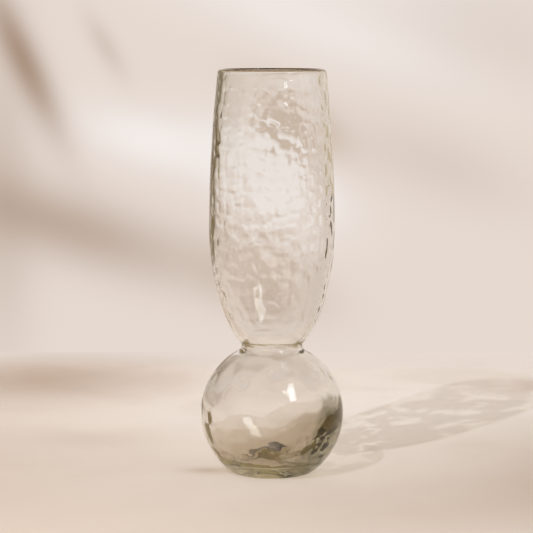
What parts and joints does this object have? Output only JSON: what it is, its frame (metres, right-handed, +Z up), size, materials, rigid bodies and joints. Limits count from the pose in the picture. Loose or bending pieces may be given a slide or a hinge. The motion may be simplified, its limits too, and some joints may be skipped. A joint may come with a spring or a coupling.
{
  "type": "hyacinth forcing vase",
  "caption": "Tall mouth-blown glass vase for forcing a bulb: a deep cup over a drawn-in waist and a round water globe on a flat foot, open at the top.",
  "frame": {"origin": "on the table, under the middle of the vase's foot", "axes": "+Z up along the vase's axis, out of its mouth. The vase is round, so +X and +Y are free."},
  "size_m": [0.0889, 0.089, 0.25],
  "materials": {
    "blown_glass": "clear blown glass with a faint olive tint that shows in its thick base, hammered on the inside, fire-polished lip",
    "pontil_glass": "rough broken glass, frosted, with the same olive tint"
  },
  "bodies": {
    "root": {"vase_glass": "blown_glass", "pontil_mark": "pontil_glass"}
  },
  "joints": []
}
